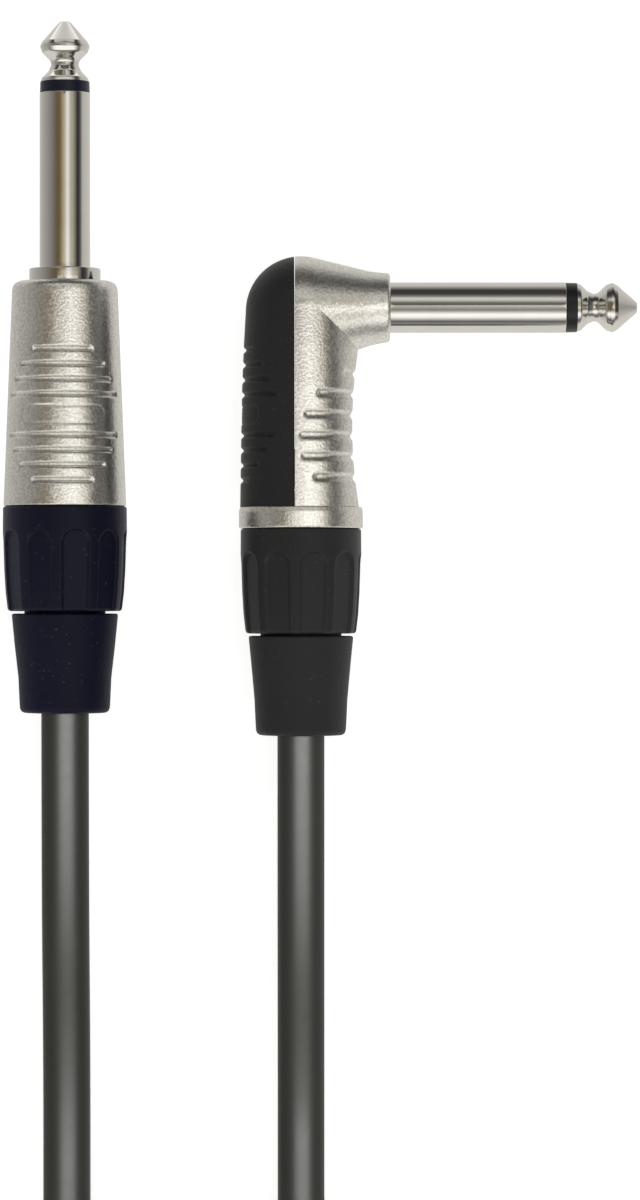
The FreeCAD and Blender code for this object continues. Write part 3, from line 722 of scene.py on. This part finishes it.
# ---- The boots --------------------------------------------------------------------------------
# Soft black elastomer sleeves. A flange inside the nut holds each one, a neck shows in the narrow gap
# behind the nut, and a skirt tapers in a shallow curve to a rounded mouth that slides on the cable.
SKIRT_START = NUT_END + 0.3
BOOT_END = 26.0
BOOT_BORE_R = 3.15
boots = {
    "straight": (6.7, (0.0040, 0.0055, 0.0220), (0.0060, 0.0075, 0.0270)),
    "angle": (6.6, (0.0305, 0.0335, 0.0340), (0.0375, 0.0410, 0.0415)),
}
for plug, (boot_r, dark, light) in boots.items():
    rubber = plastic(f"{plug}_boot_rubber", dark, light, 0.48)
    boot_profile = outline([
        (BOOT_BORE_R, 10.2, 0), (5.9, 10.2, 0.1), (5.9, 11.2, 0.1), (5.1, 11.2, 0.1), (5.1, SKIRT_START, 0.1),
        (boot_r, SKIRT_START, 0.3), (boot_r - 0.38, 17.4, 8), (5.85, 21.5, 8), (5.72, 24.4, 4),
        (5.62, BOOT_END, 0.95), (BOOT_BORE_R, BOOT_END, 0.25),
    ], 0.22)
    points = lying(turned(boot_profile, 160), *nuts[plug][:2])
    piece_from(f"{plug}_boot_moulded", [(points, True)], rubber, f"{plug}_boot_slide", "boot_rubber",
               f"{plug}_boot")

# ---- The right-angle plug's body --------------------------------------------------------------
# A zinc casting like the straight shell: a conical nose round the shaft runs into an upright barrel,
# with finger grooves on its inner side and a threaded ring at its foot. The back half of the barrel
# is a black moulded cover with grips of its own.
COVER_END = 25.1
RING_FACE = 27.8
SPLIT = -0.74
SPLIT_GAP = 0.12
DOME = 6.95
DOME_BACK = 0.5
COVER_BADGE = 13.6
FINGER_WRAPS = [38, 70, 83, 88, 86, 74]
FINGER_START, FINGER_PITCH, FINGER_HALF_WIDTH = 8.4, 2.62, 0.75
WAIST_R, WAIST_PLACE, WAIST_REACH, WAIST_ARC = 6.47, 15, 20, 60
NOSE_LEAN = math.radians(14)
NOSE_REACH = 11.2
WASHER_R = 4.3
angle_x = middle("angle_nut", 0)
angle_y = middle("angle_tip", 1)


def barrel_relief(radius, back, angle):
    """Grips and a badge round the cover's side; a flat waist and finger grooves on the nose's side.

    The waist's flat lies off the axis as an arc seen from the side, and the wall is drawn in to it
    by half the sum of the spare depth and the root of its square plus a little, a softened step."""
    cut = grips(radius, back, angle, COVER_BADGE, 180)
    for number, wrap in enumerate(FINGER_WRAPS):
        centre = FINGER_START + FINGER_PITCH * number
        cut = cut + groove(radius, back, angle, centre, 0, wrap, FINGER_HALF_WIDTH)
    aside = np.minimum(np.abs(back - WAIST_PLACE), WAIST_REACH)
    waist = WAIST_R + WAIST_ARC - np.sqrt(WAIST_ARC**2 - aside**2)
    spare = radius - waist / np.maximum(np.cos(angle), 0.2)
    cut = cut + 0.5 * (spare + np.sqrt(spare**2 + 0.02)) * smooth((back - 3) / 2)
    return np.where((back > 3.0) & (radius > 4), radius - cut, radius)


def ring_relief(radius, back, angle):
    return threaded(radius, back, angle, RING_FACE)


def at_barrel(points):
    return lying(points, angle_x, angle_y)


def along_shaft(points):
    """Points given from the nose's end back towards the barrel, laid along the shaft."""
    return lying(points, angle_x + NOSE_REACH, angle_y, quarter=True)


def tool(name, points):
    """A closed cutter that is joined or taken away and isn't kept."""
    return piece_from(name, [(points, False)], None, None, None)


def cut_by(target, cutter, operation):
    """Carries out a boolean on the target and drops the cutter."""
    change = target.modifiers.new(operation, "BOOLEAN")
    change.operation = operation
    change.object = cutter
    change.solver = "EXACT"
    result = bpy.data.meshes.new_from_object(target.evaluated_get(bpy.context.evaluated_depsgraph_get()))
    target.modifiers.clear()
    target.data = result
    bpy.data.objects.remove(cutter)


def block(low_corner, high_corner):
    """A box as a grid of two rows of four corners."""
    (x0, y0, z0), (x1, y1, z1) = low_corner, high_corner
    ring = np.array([(x0, y0), (x1, y0), (x1, y1), (x0, y1)], float)
    return np.stack([np.column_stack([ring, np.full(4, z)]) for z in (z0, z1)])


dome = np.radians(np.linspace(0, 88, 40))
dome_profile = np.stack([DOME * np.sin(dome), DOME_BACK - DOME * np.cos(dome)], axis=1)
barrel_profile = outline([
    (DOME, DOME_BACK, 0), (7.2, 5.0, 20), (7.4, 10.0, 20), (7.52, 16.0, 20), (7.65, COVER_END, 0),
    (0, COVER_END, 0),
], 0.14, loop=False)
barrel_points = at_barrel(turned(np.concatenate([dome_profile, barrel_profile]), 288, barrel_relief))
nose_length = NOSE_REACH - DOME * math.sin(NOSE_LEAN)
nose_profile = outline([
    (0, 0, 0), (4.30, 0, 0.5), (4.62, 2.4, 8), (DOME * math.cos(NOSE_LEAN), nose_length, 0),
    (0, nose_length, 0),
], 0.2, loop=False)
nose_points = turned(nose_profile, 192)
# The nose's middle line sinks from the shaft's axis to the dome's middle
nose_points[..., 0] -= DOME_BACK * nose_points[..., 1] / nose_length

cavity = np.radians(np.linspace(0, 88, 16))
cavity_profile = np.concatenate([
    np.stack([BORE_R * np.sin(cavity), -BORE_R * np.cos(cavity)], axis=1),
    np.array([(BORE_R, 0), (BORE_R, 40), (0, 40)]),
])
pocket_profile = outline([
    (0, -2, 0), (SEAT_R, -2, 0), (SEAT_R, 5.2, 0), (WASHER_R, 5.2, 0), (WASHER_R, NOSE_REACH, 0),
    (0, NOSE_REACH, 0),
], 20, loop=False)


def hollow():
    """What both halves are hollowed by: the round bore, the jack's pocket and the slot for its lug."""
    bore = tool("bore", at_barrel(turned(cavity_profile, 96)))
    cut_by(bore, tool("pocket", along_shaft(turned(pocket_profile, 96))), "UNION")
    cut_by(bore, tool("slot", at_barrel(block((-1, -14.5, -2.2), (6.1, 0, 2.2)))), "UNION")
    return bore


shell = tool("angle_shell_cast", barrel_points)
cover = tool("angle_cover_moulded", barrel_points)
cut_by(shell, tool("nose", along_shaft(nose_points)), "UNION")
behind, ahead = (-30, -60, -30), (30, 30, 30)
back_half = tool("back_half", at_barrel(block(behind, (SPLIT, *ahead[1:]))))
front_half = tool("front_half", at_barrel(block((SPLIT - SPLIT_GAP, *behind[1:]), ahead)))
cut_by(back_half, hollow(), "UNION")
cut_by(front_half, hollow(), "UNION")
cut_by(shell, back_half, "DIFFERENCE")
cut_by(cover, front_half, "DIFFERENCE")

ring_end = RING_FACE + SPIGOT_LENGTH
ring_points = turned(outline([
    (BORE_R, COVER_END, 0), (7.66, COVER_END, 0.2), (7.8, 25.7, 0.4), (7.8, RING_FACE, 0.3),
    (SPIGOT_R, RING_FACE, 0.1), (SPIGOT_R, ring_end, 0.3), (BORE_R, ring_end, 0.2),
], 0.13), 256, ring_relief)
rear_ring = piece_from("angle_ring_cast", [(at_barrel(ring_points), True)], satin, "root", "satin_nickel",
                       "angle_shell")
cover_plastic = plastic("cover_black", (0.0245, 0.0270, 0.0280), (0.0325, 0.0350, 0.0360), 0.40)
for made, finish, body, slot, node in (
    (shell, satin, "root", "satin_nickel", "angle_shell"),
    (cover, cover_plastic, "angle_cover", "cover_plastic", "angle_cover"),
):
    made.data.materials.clear()
    made.data.materials.append(finish.material)
    made.data.shade_smooth()
    made.data.set_sharp_from_angle(angle=math.radians(35))
    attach(made, body)
    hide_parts(node)

# A faint long lamp for the castings alone lifts their right flanks
casting_strip = softbox("casting_strip", (0.19, view_centre_y, LAMP_HEIGHT), (0.16, 1.2), 0.9)
light_only(casting_strip, straight_shell, rear_ring, shell)

# ---- Inside the plugs -------------------------------------------------------------------------
# Seen when a nut is unscrewed or the cover is off: natural nylon insulators, tinned solder lugs, the
# black slotted collet, the white core with its copper conductor and the twisted screen.


def inner_finish(name, dark, light, roughness, metallic=0.0, grain=900):
    """A tone that varies with a fine grain, which also roughens and raises it a little."""
    finish = Finish(name)
    fleck = finish.noise(grain, 3)
    finish.set(base_color=finish.blend(fleck, dark, light), roughness=roughness + 0.15 * fleck,
               metallic=metallic)
    finish.bump(fleck, 0.02 * MM, 0.4)
    return finish


inner_finishes = {
    "inner_insulator": inner_finish("nylon", (0.62, 0.59, 0.50), (0.72, 0.69, 0.60), 0.4),
    "ground_lug": inner_finish("tinned_brass", (0.60, 0.55, 0.42), (0.74, 0.70, 0.58), 0.25, 1.0),
    "collet": inner_finish("collet_black", (0.012, 0.012, 0.012), (0.022, 0.022, 0.022), 0.45),
    "core": inner_finish("core_white", (0.78, 0.77, 0.72), (0.86, 0.85, 0.80), 0.35),
    "conductor": inner_finish("copper_strand", (0.72, 0.34, 0.18), (0.85, 0.48, 0.28), 0.28, 1.0, 2500),
}
inner_finishes["rear_insulator"] = inner_finishes["inner_insulator"]
inner_finishes["tip_lug"] = inner_finishes["ground_lug"]
inner_finishes["screen"] = inner_finishes["conductor"]
for plug in ("straight", "angle"):
    for part, finish in inner_finishes.items():
        node_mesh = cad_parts[f"{plug}_{part}"].data
        node_mesh.materials.clear()
        node_mesh.materials.append(finish.material)
